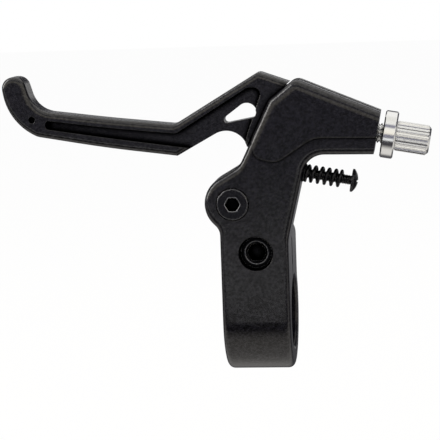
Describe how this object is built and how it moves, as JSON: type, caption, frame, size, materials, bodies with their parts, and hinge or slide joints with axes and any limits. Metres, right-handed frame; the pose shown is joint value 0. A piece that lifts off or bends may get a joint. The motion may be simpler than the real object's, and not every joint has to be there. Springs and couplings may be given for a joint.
{
  "type": "bicycle brake lever",
  "caption": "Brake lever for a flat handlebar: a hooked blade pivots in a clamp bracket with a reach screw and spring and a barrel adjuster for the brake cable.",
  "frame": {"origin": "centre of the handlebar clamp, on the bar's axis", "axes": "+X along the bar towards the cable adjuster, +Z from the bar towards the lever, +Y away from the face with the bolt heads"},
  "size_m": [0.1278, 0.0353, 0.0921],
  "materials": {
    "bracket_nylon": "satin, fine grain",
    "lever_nylon": "satin, fine grain",
    "black_steel": "black oxide",
    "bright_steel": "plain",
    "bright_aluminium": "turned, bright"
  },
  "bodies": {
    "bracket": {"lever_bracket": "bracket_nylon", "pivot_bolt": "black_steel", "pivot_nut": "black_steel", "pivot_washer_front": "bright_steel", "pivot_washer_rear": "bright_steel", "clamp_bolt": "black_steel", "clamp_nut": "black_steel", "reach_nut": "bright_steel", "reach_spring": "black_steel"},
    "lever": {"lever_blade": "lever_nylon", "pivot_bush": "bright_steel"},
    "lock_ring": {"barrel_lock_ring": "bright_aluminium"},
    "adjuster": {"barrel_adjuster": "bright_aluminium"},
    "screw": {"reach_screw": "black_steel"}
  },
  "joints": [
    {"name": "lever_pivot", "type": "hinge", "parent": "bracket", "child": "lever", "pos_m": [-0.006, -0.0104, 0.0356], "axis": [0, -1, 0], "range_deg": [0, 30]},
    {"name": "barrel_advance", "type": "slide", "parent": "bracket", "child": "lock_ring", "axis": [0.9839, 0, -0.1788], "range_m": [-0.0013, 0.005]},
    {"name": "barrel_turn", "type": "hinge", "parent": "lock_ring", "child": "adjuster", "pos_m": [0.03859, -0.0104, 0.05504], "axis": [0.9839, 0, -0.1788], "range_deg": [-469, 1801]},
    {"name": "reach_set", "type": "slide", "parent": "bracket", "child": "screw", "axis": [-0.9839, 0, 0.1788], "range_m": [-0.001, 0.0023]}
  ],
  "couplings": [
    {"joint": "barrel_turn", "follows": "barrel_advance", "rad_per_m": 6283.2}
  ]
}
